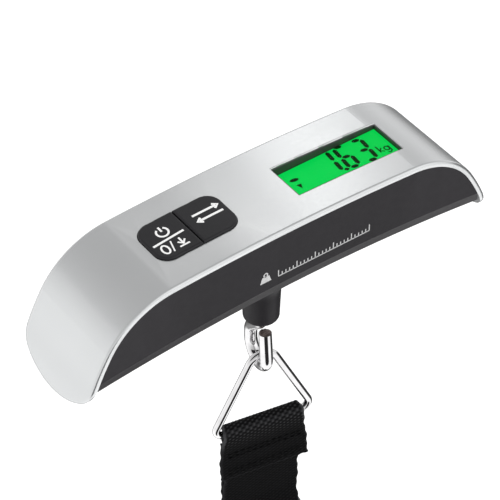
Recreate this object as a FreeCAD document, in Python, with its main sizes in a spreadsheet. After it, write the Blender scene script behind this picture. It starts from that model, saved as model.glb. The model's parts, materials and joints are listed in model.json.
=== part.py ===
import FreeCAD, Part
import math
import os
import Sketcher

# Digital luggage scale: an arched handle with a silver cover over a black housing, a swivelling hook
# on a stem under its middle, a triangular wire ring and a webbing loop with a side-release buckle.
# X runs along the handle, the printed side and the hook's tip face -Y, and Z is up. The origin is on
# the underside at mid-length, where the fingers carry the handle. Millimetres and degrees.

SIZES = {
    # Side outline of the handle: a flat crown arc, a shoulder arc and a long end arc, all tangent.
    "handle_length": 144.6,
    "handle_width": 33.4,
    "crown_top": 29.05,
    "crown_radius": 670,
    "shoulder_radius": 27.4,
    "shoulder_end": 58.5,
    "end_radius": 75.3,
    "end_lean": 76.5,
    # Silver cover: the width of its rim, its edge rounding, and the tongue at each end.
    "rim_width": 1.72,
    "rim_round": 0.8,
    "opening_round": 0.4,
    "tongue_corner": 8,
    "tongue_radius": 24,
    "tongue_low": -6.2,
    # Black housing: a hull revolved about a far axis below, so that the underside is an arch.
    "panel_inset": 0.27,
    "shell_wall": 2,
    "arch_radius": 545,
    "hull_rise": 4.6,
    "hull_chamfer_rise": 4.7,
    "hull_chamfer_run": 2,
    "floor_rise": 3.4,
    "cavity_length": 128.6,
    "blank_depth": 12,
    "stem_land": 9.5,
    "stem_land_bottom": -0.6,
    "stem_bore": 6.2,
    # Display, from the opening in the cover down to the circuit board.
    "window_x": 26.1,
    "window_y": -0.67,
    "window_length": 37.05,
    "window_width": 13.4,
    "bezel_lip": 0.35,
    "bezel_gap": 0.02,
    "bezel_drop": 0.55,
    "window_top": 26.25,
    "window_thickness": 0.5,
    "lcd_length": 36.2,
    "lcd_width": 12.6,
    "lcd_thickness": 1.8,
    "backlight_width": 8.6,
    "strip_width": 1.6,
    "strip_inset": 0.9,
    "strip_end": 1,
    "board_top": 20.8,
    "board_thickness": 1.6,
    "board_length": 94,
    "board_width": 27,
    "board_x": 1,
    "seal_radius": 3.6,
    "seal_height": 1.4,
    # Board screws: four, in posts that hang from the cover.
    "board_screw_left": -43.5,
    "board_screw_right": -3,
    "board_screw_side": 10.5,
    "board_screw_radius": 0.95,
    "board_screw_reach": 3,
    "board_head_radius": 1.9,
    "board_head_height": 1.2,
    "board_hole_radius": 1.1,
    "board_post_radius": 2.2,
    "board_pilot_radius": 1,
    "board_pilot_depth": 3.5,
    # Keys: two halves of one rounded rectangle.
    "keys_x": -25.2,
    "keys_length": 26.8,
    "keys_width": 15.7,
    "keys_corner": 4.6,
    "keys_rise": 0.8,
    "key_gap": 0.15,
    "key_round": 0.6,
    "key_flange": 0.8,
    "key_flange_top": 25.4,
    "key_flange_thickness": 0.8,
    "plunger_radius": 1.7,
    "plunger_fit": 0.08,
    "plunger_low": 1.2,
    "switch_side": 6,
    "switch_height": 2.5,
    "switch_floor": 0.5,
    # Load cell: an aluminium beam on two posts, pulled down at its middle by the hook.
    "beam_length": 66,
    "beam_width": 12,
    "beam_height": 8,
    "beam_bottom": 6,
    "beam_slot_x": 12.5,
    "beam_slot_length": 6,
    "beam_slot_radius": 2.5,
    "beam_slit": 2,
    "beam_screw_inner": 23,
    "beam_screw_outer": 29,
    "beam_screw_radius": 1.75,
    "beam_screw_hole": 1.85,
    "beam_screw_tip": 2.6,
    "beam_head_radius": 2.8,
    "beam_head_height": 2,
    "gauge_length": 7,
    "gauge_width": 5,
    "gauge_thickness": 0.3,
    "post_inner": 19,
    "post_outer": 33,
    "post_width": 13,
    "post_pilot_low": 2.4,
    # Battery bay in the underside.
    "bay_x": 44.5,
    "bay_length": 21,
    "bay_width": 21.2,
    "bay_wall": 1,
    "bay_roof": 7.5,
    "cell_radius": 10,
    "cell_height": 3.2,
    "cell_bottom": 2.9,
    "cover_gap": 0.12,
    "coin_slot_inset": 2.2,
    "coin_slot_width": 1.6,
    "coin_slot_length": 8,
    "coin_slot_top": -0.8,
    "contact_width": 5,
    "contact_thickness": 0.3,
    "contact_clearance": 0.02,
    "leaf_length": 12,
    "button_radius": 1.6,
    "tab_pin_inset": 1.4,
    "leaf_pin_shift": 4,
    "tab_gap": 0.18,
    "tab_foot": 2,
    "pin_radius": 0.6,
    "pin_height": 2,
    "pin_hole": 0.8,
    "lead_radius": 0.5,
    "lead_gap": 0.05,
    # Case and board screws.
    "case_screw_x": 59,
    "case_screw_radius": 1.3,
    "case_screw_tip": 11,
    "case_screw_hole": 1.6,
    "case_head_radius": 2.6,
    "case_head_height": 1.4,
    "case_head_low": -2.5,
    "case_seat_radius": 2.9,
    "case_seat": -1,
    "case_column_radius": 3.4,
    "case_post_radius": 2.7,
    "case_post_bottom": 6.1,
    "case_post_gap": 0.1,
    "case_pilot_radius": 1.4,
    "case_pilot_depth": 5.5,
    # Stem and hook.
    "stem_bottom": -19.2,
    "stem_tip_radius": 5.45,
    "stem_tip_round": 1,
    "stem_waist_radius": 5.8,
    "stem_waist": -9,
    "stem_flare_radius": 8.9,
    "stem_flare_bend": 13,
    "stem_seat": -0.65,
    "stem_neck_fit": 0.1,
    "stem_hole_radius": 2.4,
    "stem_flange_radius": 7.8,
    "stem_flange_bottom": 3.5,
    "stem_flange_height": 1.3,
    "rod_radius": 2,
    "beam_hole_radius": 2.08,
    "washer_radius": 4.4,
    "washer_height": 0.8,
    "washer_gap": 0.1,
    "nut_radius": 4.1,
    "nut_height": 3,
    "nut_gap": 0.95,
    "thread_gap": 0.02,
    "hook_turn": -10.9,
    "hook_top": 18.6,
    "hook_low": -39.3,
    "hook_back": 7.1,
    "hook_front": -4.3,
    "hook_knee": -22,
    "hook_elbow": -29.2,
    "hook_knee_bend": 3.5,
    "hook_elbow_bend": 4.5,
    "hook_tip_y": -2.76,
    "hook_tip_z": -24.1,
    # Triangular ring, hanging at the lowest point of the hook.
    "wire_radius": 1.2,
    "ring_side": 0.6,
    "ring_plane": 0,
    "ring_top": -35.4,
    "ring_bar": -64.8,
    "ring_half_angle": 25.35,
    "ring_top_bend": 4.85,
    "ring_corner_bend": 2.65,
    # Webbing and its side-release buckle.
    "webbing_width": 25.4,
    "webbing_thickness": 1.2,
    "webbing_gap": 0.2,
    "seam_depth": 20,
    "seam_half": 0.75,
    "loop_front": -13.5,
    "loop_back": 14.5,
    "loop_shoulder": -165,
    "loop_bottom": -216,
    "loop_bend": 13.9,
    "fold_share": 0.97,
    "seam_bend": 8,
    "strap_shift": 1.4,
    "strap_ease": 20,
    "strap_bend": 20,
    "shoulder_bend": 60,
    "plug_lead": 30,
    "tab_lead": 8,
    "tab_top_shift": 3.2,
    "tab_seam_shift": 2.3,
    "tab_low_shift": 2.9,
    "tab_low": 17,
    "tab_turn": 24,
    "tab_bend": 5,
    "tab_end_bend": 2,
    "buckle_plane": 8,
    "buckle_width": 33,
    "buckle_thickness": 10.5,
    "socket_top": -112,
    "socket_bottom": -145,
    "plug_bottom": -160,
    "plug_gap": 0.15,
    "plug_step": 2,
    "buckle_slot_half": 13.5,
    "buckle_slot_height": 3.2,
    "socket_slot_depth": 4,
    "socket_room_width": 26,
    "socket_room_depth": 6.6,
    "socket_room_height": 24,
    "socket_window_height": 13,
    "socket_window_level": 14.5,
    "socket_corner": 3,
    "socket_edge": 1.4,
    "plug_corner": 2.5,
    "plug_edge": 1.2,
    "plug_slot_depth": 4.6,
    "plug_slot_pitch": 6,
    "guide_root": 1,
    "guide_half": 3,
    "guide_height": 21,
    "guide_thickness": 3,
    "latch_gap": 0.1,
    "latch_thickness": 5.6,
    "latch_round": 0.8,
    "latch_heel": 1.5,
    "latch_heel_inner": 8.6,
    "latch_heel_outer": 11.4,
    "latch_heel_rise": 0.96,
}

# Points closer than this count as the same, and one blank runs this far into the next to join it.
TOLERANCE = 0.01
OVERLAP = 0.05

doc = FreeCAD.newDocument("luggage_scale")
sheet = doc.addObject("Spreadsheet::Sheet", "Dim")
for row, (alias, number) in enumerate(SIZES.items(), 1):
    sheet.set(f"A{row}", alias)
    sheet.set(f"B{row}", str(number))
    sheet.setAlias(f"B{row}", alias)
doc.recompute()

parts = []


# Helpers: values, sketches, features and primitives, all bound to the sheet.

def value(expression):
    """The number that an expression over the sheet gives."""
    result = sheet.evalExpression(str(expression))
    return float(getattr(result, "Value", result))


def named(part, label):
    """Give a finished sub-part its label and put it on the list of sub-parts."""
    part.Label = label
    parts.append(part)
    return part


def hang(part, side="0"):
    """Turn a sub-part about Z with the hook's rest position, after moving it sideways."""
    part.Placement = FreeCAD.Placement(FreeCAD.Vector(), FreeCAD.Rotation(FreeCAD.Vector(0, 0, 1), 1))
    part.setExpression("Placement.Rotation.Angle", "Dim.hook_turn * 1 deg")
    part.setExpression("Placement.Base.x", f"({side}) * cos(Dim.hook_turn * 1 deg)")
    part.setExpression("Placement.Base.y", f"({side}) * sin(Dim.hook_turn * 1 deg)")
    return part


def bind(sketch, index, expression):
    """Drive one constraint of a sketch by an expression."""
    sketch.setExpression(f"Constraints[{index}]", str(expression))


def edge_between(start, end, radius, turn):
    """Line or arc from start to end, and the arc's own numbers for its first and last point."""
    if radius is None:
        return Part.LineSegment(start, end), 1, 2
    chord = end - start
    middle = (start + end) * 0.5
    left = FreeCAD.Vector(-chord.y, chord.x, 0).normalize()
    rise = math.sqrt(max(radius ** 2 - chord.Length ** 2 / 4, 0))
    centre = middle + left * rise * turn
    first, last = (start, end) if turn > 0 else (end, start)
    angles = [math.atan2(p.y - centre.y, p.x - centre.x) for p in (first, last)]
    if angles[1] < angles[0]:
        angles[1] += 2 * math.pi
    circle = Part.Circle(centre, FreeCAD.Vector(0, 0, 1), radius)
    arc = Part.ArcOfCircle(circle, angles[0], angles[1])
    return (arc, 1, 2) if turn > 0 else (arc, 2, 1)


def attach(sketch, body, role, level):
    """Put a sketch on an origin plane of its own body, moved along the plane's normal by level."""
    plane = next(item for item in body.Origin.OriginFeatures if item.Role == role)
    sketch.AttachmentSupport = (plane, [""])
    sketch.MapMode = "FlatFace"
    sketch.setExpression("AttachmentOffset.Base.z", str(level))


def outline_sketch(body, role, corners, level=0):
    """Closed sketch. A corner is (x, y), or (x, y, radius, turn) where an arc starts: 1 left, -1 right."""
    sketch = body.newObject("Sketcher::SketchObject", "Outline")
    attach(sketch, body, role, level)
    points = [FreeCAD.Vector(value(c[0]), value(c[1]), 0) for c in corners]
    ends = []
    for i, corner in enumerate(corners):
        radius = corner[2] if len(corner) > 2 else None
        turn = corner[3] if radius is not None else 0
        number = None if radius is None else value(radius)
        shape, first, last = edge_between(points[i], points[(i + 1) % len(points)], number, turn)
        sketch.addGeometry(shape, False)
        ends.append((first, last))
        if radius is not None:
            bind(sketch, sketch.addConstraint(Sketcher.Constraint("Radius", i, number)), radius)
    for i, corner in enumerate(corners):
        after = (i + 1) % len(corners)
        sketch.addConstraint(Sketcher.Constraint("Coincident", i, ends[i][1], after, ends[after][0]))
        for kind, expression in (("DistanceX", corner[0]), ("DistanceY", corner[1])):
            held = Sketcher.Constraint(kind, -1, 1, i, ends[i][0], value(expression))
            bind(sketch, sketch.addConstraint(held), expression)
    return sketch


def circles_sketch(body, role, circles, level=0):
    """Sketch of full circles, each (x, y, radius)."""
    sketch = body.newObject("Sketcher::SketchObject", "Circles")
    attach(sketch, body, role, level)
    for i, (x, y, radius) in enumerate(circles):
        centre = FreeCAD.Vector(value(x), value(y), 0)
        sketch.addGeometry(Part.Circle(centre, FreeCAD.Vector(0, 0, 1), value(radius)), False)
        bind(sketch, sketch.addConstraint(Sketcher.Constraint("Radius", i, value(radius))), radius)
        bind(sketch, sketch.addConstraint(Sketcher.Constraint("DistanceX", -1, 1, i, 3, centre.x)), x)
        bind(sketch, sketch.addConstraint(Sketcher.Constraint("DistanceY", -1, 1, i, 3, centre.y)), y)
    return sketch


def rectangle(x, y, length, width):
    """Corners of a rectangle about a centre."""
    x0, x1 = f"({x}) - ({length}) / 2", f"({x}) + ({length}) / 2"
    y0, y1 = f"({y}) - ({width}) / 2", f"({y}) + ({width}) / 2"
    return [(x0, y0), (x1, y0), (x1, y1), (x0, y1)]


def new_body(label):
    return named(doc.addObject("PartDesign::Body", "Body"), label)


def pad(body, sketch, length, symmetric=False):
    feature = body.newObject("PartDesign::Pad", "Pad")
    feature.Profile = sketch
    feature.setExpression("Length", str(length))
    feature.SideType = "Symmetric" if symmetric else "One side"
    return feature


def pocket(body, sketch, length=None, upward=True):
    """Cut from the sketch along its normal by length, or both ways through everything."""
    feature = body.newObject("PartDesign::Pocket", "Pocket")
    feature.Profile = sketch
    if length is None:
        feature.SideType = "Symmetric"
        feature.Type = "ThroughAll"
    else:
        feature.Reversed = upward
        feature.setExpression("Length", str(length))
    return feature


def revolve(body, sketch, kind, axis, angle):
    """Revolution or Groove about an axis of the sketch, half the angle to each side."""
    feature = body.newObject("PartDesign::" + kind, kind)
    feature.Profile = sketch
    feature.ReferenceAxis = (sketch, [axis])
    feature.Midplane = True
    feature.setExpression("Angle", str(angle))
    return feature


def fillet(body, radius, wanted):
    """Round the edges of the body's tip for which wanted(edge) is true."""
    base = body.Tip
    doc.recompute()
    names = [f"Edge{i}" for i, edge in enumerate(base.Shape.Edges, 1) if wanted(edge)]
    feature = body.newObject("PartDesign::Fillet", "Fillet")
    feature.Base = (base, names)
    feature.setExpression("Radius", str(radius))
    return feature


def place(part, x, y, z):
    for axis, expression in zip("xyz", (x, y, z)):
        part.setExpression(f"Placement.Base.{axis}", str(expression))
    return part


def box(length, width, height, x, y, z):
    """Box centred on x and y that stands on z."""
    part = doc.addObject("Part::Box", "Box")
    for side, expression in (("Length", length), ("Width", width), ("Height", height)):
        part.setExpression(side, str(expression))
    return place(part, f"({x}) - ({length}) / 2", f"({y}) - ({width}) / 2", z)


def cylinder(radius, height, x, y, z):
    """Upright cylinder that stands on z."""
    part = doc.addObject("Part::Cylinder", "Cylinder")
    part.setExpression("Radius", str(radius))
    part.setExpression("Height", str(height))
    return place(part, x, y, z)


def cross_cylinder(radius, length, x, z):
    """Cylinder along Y, centred on y = 0."""
    part = doc.addObject("Part::Cylinder", "CrossCylinder")
    turned = FreeCAD.Rotation(FreeCAD.Vector(1, 0, 0), 90)
    part.Placement = FreeCAD.Placement(FreeCAD.Vector(), turned)
    part.setExpression("Radius", str(radius))
    part.setExpression("Height", str(length))
    return place(part, x, f"({length}) / 2", z)


def joined(pieces):
    part = doc.addObject("Part::MultiFuse", "Joined")
    part.Shapes = pieces
    return part


def cut(base, tools):
    part = doc.addObject("Part::Cut", "Cut")
    part.Base = base
    part.Tool = tools[0] if len(tools) == 1 else joined(tools)
    return part


def group(pieces, label):
    """Identical separate solids that share one node."""
    part = doc.addObject("Part::Compound", "Group")
    part.Links = pieces
    return named(part, label)


def upright_screw(radius, head_radius, x, y, head_z, head_height, tip_z):
    """Screw along Z. Its head starts at head_z and its tip is at tip_z, above or below."""
    head = cylinder(head_radius, head_height, x, y, head_z)
    low = f"min({tip_z}; ({head_z}) + ({head_height}) / 2)"
    high = f"max({tip_z}; ({head_z}) + ({head_height}) / 2)"
    shank = cylinder(radius, f"{high} - {low}", x, y, low)
    return joined([head, shank])


# Shared outlines of the handle.

SHOULDER = "(Dim.shoulder_end * 1 deg)"
LEAN = "(Dim.end_lean * 1 deg)"
CROWN = (f"asin((Dim.handle_length / 2 - Dim.shoulder_radius * sin({SHOULDER})"
         f" - Dim.end_radius * (sin({LEAN}) - sin({SHOULDER})))"
         f" / (Dim.crown_radius - Dim.shoulder_radius))")
CROWN_CENTRE = ("0", "(Dim.crown_top - Dim.crown_radius)")
HALF_PANEL = "(Dim.handle_width / 2 - Dim.panel_inset)"
HALF_CAVITY = f"({HALF_PANEL} - Dim.shell_wall)"
CONTACT_PINS = ("Dim.bay_x - Dim.bay_length / 2 + Dim.tab_pin_inset", "Dim.bay_x + Dim.leaf_pin_shift")
ARCH_AXIS = "-Dim.arch_radius"
TONGUE_CORNER_Y = "(Dim.handle_width / 2 - Dim.tongue_corner)"
TONGUE_REACH = "(Dim.tongue_radius - Dim.tongue_corner)"
FOOT_TOP = f"(Dim.tongue_low + Dim.tongue_radius - sqrt({TONGUE_REACH} ^ 2 - {TONGUE_CORNER_Y} ^ 2))"

# Levels and distances that lie outside the whole handle, for cuts that run clear of it.
ABOVE = "(2 * Dim.crown_top)"
BELOW = "(-Dim.blank_depth)"
OUTSIDE = "Dim.handle_width"
PAST_END = "Dim.handle_length"

BOARD_SCREWS = [(f"Dim.board_screw_{end}", f"{sign}Dim.board_screw_side")
                for end in ("left", "right") for sign in ("-", "")]
BEAM_SCREWS = [f"{sign}Dim.beam_screw_{row}" for sign in ("-", "") for row in ("inner", "outer")]
CASE_SCREWS = ["-Dim.case_screw_x", "Dim.case_screw_x"]
BEAM_TOP = "(Dim.beam_bottom + Dim.beam_height)"
BOARD_LOW = "(Dim.board_top - Dim.board_thickness)"
LEAD_TOP = f"({BOARD_LOW} - Dim.lead_gap)"


def beyond(centre, distance, angle):
    """Point at a distance from a centre, at an angle from straight up towards +X."""
    x = f"({centre[0]} + ({distance}) * sin({angle}))"
    z = f"({centre[1]} + ({distance}) * cos({angle}))"
    return x, z


SHOULDER_CENTRE = beyond(CROWN_CENTRE, "Dim.crown_radius - Dim.shoulder_radius", CROWN)
END_CENTRE = beyond(SHOULDER_CENTRE, "Dim.shoulder_radius - Dim.end_radius", SHOULDER)


def side_outline(offset, turn):
    """Side outline moved inward by offset, from tongue to tongue over the crown.

    Turn -1 runs towards +X and 1 back towards -X. The last corner starts no arc.
    """
    radii = [f"(Dim.{name}_radius - ({offset}))" for name in ("end", "shoulder", "crown", "shoulder", "end")]
    right = [beyond(CROWN_CENTRE, radii[2], CROWN),
             beyond(SHOULDER_CENTRE, radii[1], SHOULDER),
             beyond(END_CENTRE, radii[0], LEAN)]
    left = [(f"-{x}", z) for x, z in reversed(right)]
    points = left + right if turn < 0 else list(reversed(left + right))
    arcs = [(x, z, radius, turn) for (x, z), radius in zip(points, radii)]
    return arcs + [points[-1]]


def arc_radius(chord_half, rise):
    return f"(({chord_half}) ^ 2 + ({rise}) ^ 2) / (2 * ({rise}))"


def hull_groove(body):
    """Cut away what is below the hull: upright sides, a chamfer and a crowned underside, arched in X."""
    deep = f"-{OUTSIDE}"
    edge = f"({HALF_PANEL} - Dim.hull_chamfer_run)"
    knee = "(Dim.hull_rise + Dim.hull_chamfer_rise)"
    corners = [(f"-{OUTSIDE}", knee), (f"-{HALF_PANEL}", knee),
               (f"-{edge}", "Dim.hull_rise", arc_radius(edge, "Dim.hull_rise"), 1), (edge, "Dim.hull_rise"),
               (HALF_PANEL, knee), (OUTSIDE, knee), (OUTSIDE, deep), (f"-{OUTSIDE}", deep)]
    arch_groove(body, corners, "2 * asin(Dim.handle_length / Dim.arch_radius)")


def cavity_groove(body):
    """Cut the hollow above the floor, which follows the hull inside."""
    edge = f"({HALF_CAVITY} - Dim.hull_chamfer_run)"
    floor = "(Dim.shell_wall + Dim.floor_rise)"
    corners = [(f"-{HALF_CAVITY}", ABOVE), (f"-{HALF_CAVITY}", f"{floor} + Dim.hull_chamfer_rise"),
               (f"-{edge}", floor, arc_radius(edge, "Dim.floor_rise"), 1), (edge, floor),
               (HALF_CAVITY, f"{floor} + Dim.hull_chamfer_rise"), (HALF_CAVITY, ABOVE)]
    half_angle = "asin(Dim.cavity_length / 2 / (Dim.arch_radius + Dim.shell_wall))"
    arch_groove(body, corners, f"2 * {half_angle}")


def arch_groove(body, corners, angle):
    """Groove about the arch's axis, which is parallel to Y and far below the handle."""
    sketch = outline_sketch(body, "YZ_Plane", corners)
    depth, reach = value(ARCH_AXIS), value(OUTSIDE)
    axis = Part.LineSegment(FreeCAD.Vector(0, depth, 0), FreeCAD.Vector(reach, depth, 0))
    line = sketch.addGeometry(axis, True)
    for end, across in ((1, 0), (2, reach)):
        sketch.addConstraint(Sketcher.Constraint("DistanceX", -1, 1, line, end, across))
        held = Sketcher.Constraint("DistanceY", -1, 1, line, end, depth)
        bind(sketch, sketch.addConstraint(held), ARCH_AXIS)
    revolve(body, sketch, "Groove", "Axis0", angle)


# Handle.

def top_cover():
    """Silver cover: one arched strip whose ends are rounded tongues, with openings, posts and a rim."""
    body = new_body("top_cover")
    board_posts = [(x, y, "Dim.board_post_radius") for x, y in BOARD_SCREWS]
    pad(body, circles_sketch(body, "XY_Plane", board_posts, "Dim.board_top"), "Dim.crown_top")
    case_posts = [(x, 0, "Dim.case_post_radius") for x in CASE_SCREWS]
    pad(body, circles_sketch(body, "XY_Plane", case_posts, "Dim.case_post_bottom"), "Dim.crown_top")
    band = side_outline(0, -1) + side_outline("Dim.rim_width", 1)
    pad(body, outline_sketch(body, "XZ_Plane", band), "Dim.handle_width", symmetric=True)
    outer = side_outline(0, -1)
    foot = outer[-1][1]
    above = outer + [(PAST_END, foot), (PAST_END, ABOVE), (f"-{PAST_END}", ABOVE), (f"-{PAST_END}", foot)]
    pocket(body, outline_sketch(body, "XZ_Plane", above))
    pocket(body, outline_sketch(body, "YZ_Plane", tongue_corners()))
    window = rectangle("Dim.window_x", "Dim.window_y", "Dim.window_length", "Dim.window_width")
    pocket(body, outline_sketch(body, "XY_Plane", window), ABOVE)
    keys = rounded("Dim.keys_x", "Dim.keys_length + 2 * Dim.key_gap", "Dim.keys_width + 2 * Dim.key_gap",
                   "Dim.keys_corner")
    pocket(body, outline_sketch(body, "XY_Plane", keys), ABOVE)
    board_pilots = [(x, y, "Dim.board_pilot_radius") for x, y in BOARD_SCREWS]
    pocket(body, circles_sketch(body, "XY_Plane", board_pilots, "Dim.board_top"), "Dim.board_pilot_depth")
    case_pilots = [(x, 0, "Dim.case_pilot_radius") for x in CASE_SCREWS]
    sketch = circles_sketch(body, "XY_Plane", case_pilots, "Dim.case_post_bottom")
    pocket(body, sketch, "Dim.case_pilot_depth")
    fillet(body, "Dim.rim_round", on_outer_rim)
    fillet(body, "Dim.opening_round", on_display_opening)


def rounded(x, length, width, radius):
    """Corners of a rectangle with four rounded corners about (x, 0)."""
    ends = [f"({x}) {sign} ({length}) / 2" for sign in "-+"]
    sides = [f"{sign}({width}) / 2" for sign in ("-", "")]
    return [(f"{ends[0]} + {radius}", sides[0]), (f"{ends[1]} - {radius}", sides[0], radius, 1),
            (ends[1], f"{sides[0]} + {radius}"), (ends[1], f"{sides[1]} - {radius}", radius, 1),
            (f"{ends[1]} - {radius}", sides[1]), (f"{ends[0]} + {radius}", sides[1], radius, 1),
            (ends[0], f"{sides[1]} - {radius}"), (ends[0], f"{sides[0]} + {radius}", radius, 1)]


def tongue_corners():
    """What the end view of the tongues leaves out: everything outside a rounded foot."""
    half = "(Dim.handle_width / 2)"
    tilt = f"asin({TONGUE_CORNER_Y} / {TONGUE_REACH})"
    touch_y = f"(Dim.tongue_radius * sin({tilt}))"
    touch_z = f"(Dim.tongue_low + Dim.tongue_radius - Dim.tongue_radius * cos({tilt}))"
    deep = f"-{OUTSIDE}"
    return [(f"-{OUTSIDE}", FOOT_TOP), (f"-{half}", FOOT_TOP, "Dim.tongue_corner", 1),
            (f"-{touch_y}", touch_z, "Dim.tongue_radius", 1), (touch_y, touch_z, "Dim.tongue_corner", 1),
            (half, FOOT_TOP), (OUTSIDE, FOOT_TOP), (OUTSIDE, deep), (f"-{OUTSIDE}", deep)]


def on_outer_rim(edge):
    """Long edges of the cover's outer surface, from tongue to tongue along both sides."""
    half = value("Dim.handle_width / 2")
    centres = [(CROWN_CENTRE, "crown"), (SHOULDER_CENTRE, "shoulder"), (END_CENTRE, "end")]
    points = edge.discretize(5)
    if edge.BoundBox.YLength > 2 * half - OVERLAP or max(abs(p.y) for p in points) < OVERLAP:
        return False
    for centre, name in centres:
        x, z = value(centre[0]), value(centre[1])
        radius = value(f"Dim.{name}_radius")
        gaps = [abs(math.hypot(abs(p.x) - x, p.z - z) - radius) for p in points]
        if max(gaps) < TOLERANCE:
            side = all(abs(abs(p.y) - half) < TOLERANCE for p in points)
            low = all(p.z < value(FOOT_TOP) + TOLERANCE for p in points)
            return side or low
    return False


def on_display_opening(edge):
    """Upper edges of the display's opening, whose four short upright edges stay sharp."""
    bounds = edge.BoundBox
    middle = edge.discretize(3)[1]
    inside = (abs(middle.x - value("Dim.window_x")) < value("Dim.window_length / 2") + OVERLAP
              and abs(middle.y - value("Dim.window_y")) < value("Dim.window_width / 2") + OVERLAP)
    height = math.hypot(middle.x, middle.z - value(CROWN_CENTRE[1]))
    outside = height > value("Dim.crown_radius - Dim.rim_width / 3")
    return inside and outside and max(bounds.XLength, bounds.YLength) > value("Dim.opening_round")


def lower_housing():
    """Black housing: an open tub under the cover, with the bay, posts and screw columns inside."""
    body = new_body("lower_housing")
    side = side_outline("Dim.rim_width", -1)
    side += [(side[-1][0], BELOW), (side[0][0], BELOW)]
    pad(body, outline_sketch(body, "XZ_Plane", side), f"2 * {HALF_PANEL}", symmetric=True)
    cavity_groove(body)
    for sign in (-1, 1):
        middle = f"{sign} * (Dim.post_inner + Dim.post_outer) / 2"
        block = rectangle(middle, 0, "Dim.post_outer - Dim.post_inner", "Dim.post_width")
        pad(body, outline_sketch(body, "XY_Plane", block, BELOW), f"Dim.beam_bottom - {BELOW}")
    bay = rectangle("Dim.bay_x", 0, "Dim.bay_length + 2 * Dim.bay_wall", "Dim.bay_width + 2 * Dim.bay_wall")
    pad(body, outline_sketch(body, "XY_Plane", bay, BELOW), f"Dim.bay_roof + Dim.bay_wall - {BELOW}")
    columns = [(x, 0, "Dim.case_column_radius") for x in CASE_SCREWS]
    column_height = f"Dim.case_post_bottom - Dim.case_post_gap - {BELOW}"
    pad(body, circles_sketch(body, "XY_Plane", columns, BELOW), column_height)
    hull_groove(body)
    land = [(0, 0, "Dim.stem_land")]
    pad(body, circles_sketch(body, "XY_Plane", land, "Dim.stem_land_bottom"),
        "Dim.stem_flange_bottom - Dim.stem_land_bottom")
    room = rectangle("Dim.bay_x", 0, "Dim.bay_length", "Dim.bay_width")
    pocket(body, outline_sketch(body, "XY_Plane", room, BELOW), f"Dim.bay_roof - {BELOW}")
    pocket(body, circles_sketch(body, "XY_Plane", [(0, 0, "Dim.stem_bore")]))
    pocket(body, circles_sketch(body, "XY_Plane", [(x, 0, "Dim.case_screw_hole") for x in CASE_SCREWS]))
    seats = [(x, 0, "Dim.case_seat_radius") for x in CASE_SCREWS]
    pocket(body, circles_sketch(body, "XY_Plane", seats, BELOW), f"Dim.case_seat - {BELOW}")
    pilots = [(x, 0, "Dim.beam_screw_hole") for x in BEAM_SCREWS]
    pocket(body, circles_sketch(body, "XY_Plane", pilots, "Dim.post_pilot_low"), "Dim.beam_bottom")
    pins = [(x, 0, "Dim.pin_hole") for x in CONTACT_PINS]
    pocket(body, circles_sketch(body, "XY_Plane", pins, "Dim.bay_roof - Dim.bay_wall"), "4 * Dim.bay_wall")


def battery_cover():
    """Patch of the underside that closes the battery bay, with a coin slot to lift it."""
    body = new_body("battery_cover")
    gaps = "2 * Dim.cover_gap"
    patch = rectangle("Dim.bay_x", 0, f"Dim.bay_length - {gaps}", f"Dim.bay_width - {gaps}")
    pad(body, outline_sketch(body, "XY_Plane", patch, BELOW), f"Dim.bay_roof - {BELOW}")
    hull_groove(body)
    cavity_groove(body)
    slot = rectangle("Dim.bay_x - Dim.bay_length / 2 + Dim.coin_slot_inset", 0, "Dim.coin_slot_width",
                     "Dim.coin_slot_length")
    pocket(body, outline_sketch(body, "XY_Plane", slot, BELOW), f"Dim.coin_slot_top - {BELOW}")


def stem_sleeve():
    """Tapered stem that the hook swivels in, flared under the housing and flanged inside it."""
    body = new_body("stem_sleeve")
    bore, low = "Dim.stem_hole_radius", "Dim.stem_bottom"
    tip, edge = "Dim.stem_tip_radius", "Dim.stem_tip_round"
    neck, seat = "(Dim.stem_bore - Dim.stem_neck_fit)", "Dim.stem_seat"
    under, wide = "Dim.stem_flange_bottom", "Dim.stem_flange_radius"
    top = f"({under} + Dim.stem_flange_height)"
    profile = [(bore, low), (f"{tip} - {edge}", low, edge, 1), (tip, f"{low} + {edge}"),
               ("Dim.stem_waist_radius", "Dim.stem_waist", "Dim.stem_flare_bend", -1),
               ("Dim.stem_flare_radius", seat), (neck, seat), (neck, under), (wide, under), (wide, top),
               (bore, top)]
    revolve(body, outline_sketch(body, "XZ_Plane", profile), "Revolution", "V_Axis", 360)


def display_bezel():
    """Dark frame that lines the opening and holds the clear window and the display."""
    body = new_body("display_bezel")
    x0 = "(Dim.window_x - Dim.window_length / 2 + Dim.bezel_gap)"
    x1 = "(Dim.window_x + Dim.window_length / 2 - Dim.bezel_gap)"
    low = "(Dim.window_top - Dim.window_thickness - Dim.lcd_thickness)"
    lip = "(Dim.crown_radius - Dim.bezel_drop)"
    heights = [f"{CROWN_CENTRE[1]} + sqrt({lip} ^ 2 - {x} ^ 2)" for x in (x0, x1)]
    side = [(x0, low), (x1, low), (x1, heights[1], lip, 1), (x0, heights[0])]
    sketch = outline_sketch(body, "XZ_Plane", side, "-Dim.window_y")
    pad(body, sketch, "Dim.window_width - 2 * Dim.bezel_gap", symmetric=True)
    room = rectangle("Dim.window_x", "Dim.window_y", "Dim.window_length - 2 * Dim.bezel_lip",
                     "Dim.window_width - 2 * Dim.bezel_lip")
    pocket(body, outline_sketch(body, "XY_Plane", room))


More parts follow.
